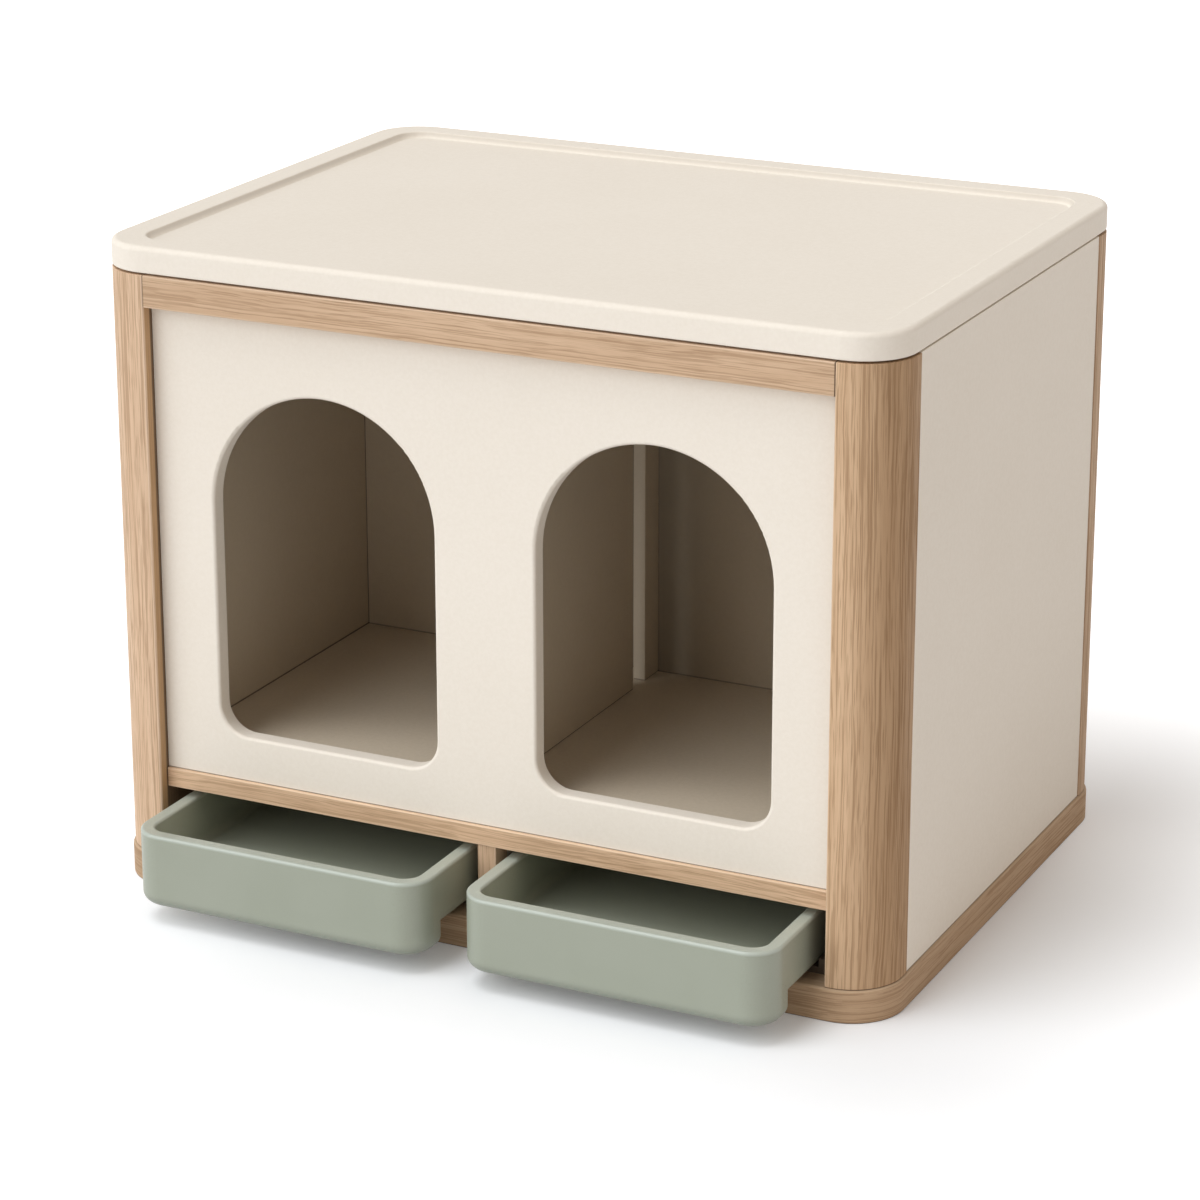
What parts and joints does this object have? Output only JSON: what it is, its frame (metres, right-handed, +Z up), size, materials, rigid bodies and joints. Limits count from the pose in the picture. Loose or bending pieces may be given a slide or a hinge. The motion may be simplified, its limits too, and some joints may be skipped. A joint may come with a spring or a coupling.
{
  "type": "litter box enclosure",
  "caption": "Cream and oak cabinet for cat litter with arched entries, pull-out trays below the floor and a flip-top lid with a raised rim.",
  "frame": {"origin": "middle of the base board's underside, on the floor", "axes": "+X to the right seen from the front, +Y to the back, +Z up"},
  "size_m": [0.764, 0.648, 0.604],
  "materials": {
    "oak": "pale oak, matt oiled",
    "cream_board": "cream painted board, fine matt texture",
    "greige_board": "warm greige laminate on the inner boards, matt",
    "beech": "raw beech",
    "sage_plastic": "sage green moulded plastic, matt",
    "runner_plastic": "dark slippery plastic",
    "hinge_steel": "satin nickel",
    "screw_steel": "zinc plated",
    "bumper_rubber": "soft clear rubber"
  },
  "bodies": {
    "cabinet": {"back_panel": "cream_board", "base_board": "oak", "base_screws": "screw_steel", "divider_panel": "greige_board", "divider_post": "greige_board", "drawer_partition": "cream_board", "drawer_runner_inner_left": "runner_plastic", "drawer_runner_inner_right": "runner_plastic", "drawer_runner_outer_left": "runner_plastic", "drawer_runner_outer_right": "runner_plastic", "drawer_stile": "oak", "drawer_stop_left": "beech", "drawer_stop_right": "beech", "floor_bearers": "beech", "floor_board": "greige_board", "floor_cleat_left": "beech", "floor_cleat_right": "beech", "front_panel": "cream_board", "front_panel_dowels": "beech", "hinge_frame_leaf_left": "hinge_steel", "hinge_frame_leaf_right": "hinge_steel", "hinge_frame_screws": "screw_steel", "hinge_pin_left": "hinge_steel", "hinge_pin_right": "hinge_steel", "inner_back_panel": "greige_board", "lid_bumpers": "bumper_rubber", "post_front_left": "oak", "post_front_right": "oak", "post_rear_left": "oak", "post_rear_right": "oak", "rail_dowels": "beech", "side_liner_left": "greige_board", "side_liner_right": "greige_board", "side_panel_dowels": "beech", "side_panel_left": "cream_board", "side_panel_right": "cream_board", "side_spacer_rail_left": "beech", "side_spacer_rail_right": "beech", "sill_rail": "oak", "sub_floor": "greige_board", "top_rail_front": "oak", "top_rail_rear": "oak"},
    "lid": {"lid_top": "cream_board", "hinge_lid_leaf_left": "hinge_steel", "hinge_lid_leaf_right": "hinge_steel", "hinge_lid_screws": "screw_steel"},
    "drawer_left": {"drawer_tray_left": "sage_plastic"},
    "drawer_right": {"drawer_tray_right": "sage_plastic"}
  },
  "joints": [
    {"name": "lid_hinge", "type": "hinge", "parent": "cabinet", "child": "lid", "pos_m": [0, 0.284, 0.579], "axis": [-1, 0, 0], "range_deg": [0, 95]},
    {"name": "drawer_left_slide", "type": "slide", "parent": "cabinet", "child": "drawer_left", "axis": [0, -1, 0], "range_m": [-0.0335, 0.3]},
    {"name": "drawer_right_slide", "type": "slide", "parent": "cabinet", "child": "drawer_right", "axis": [0, -1, 0], "range_m": [-0.0335, 0.3]}
  ]
}
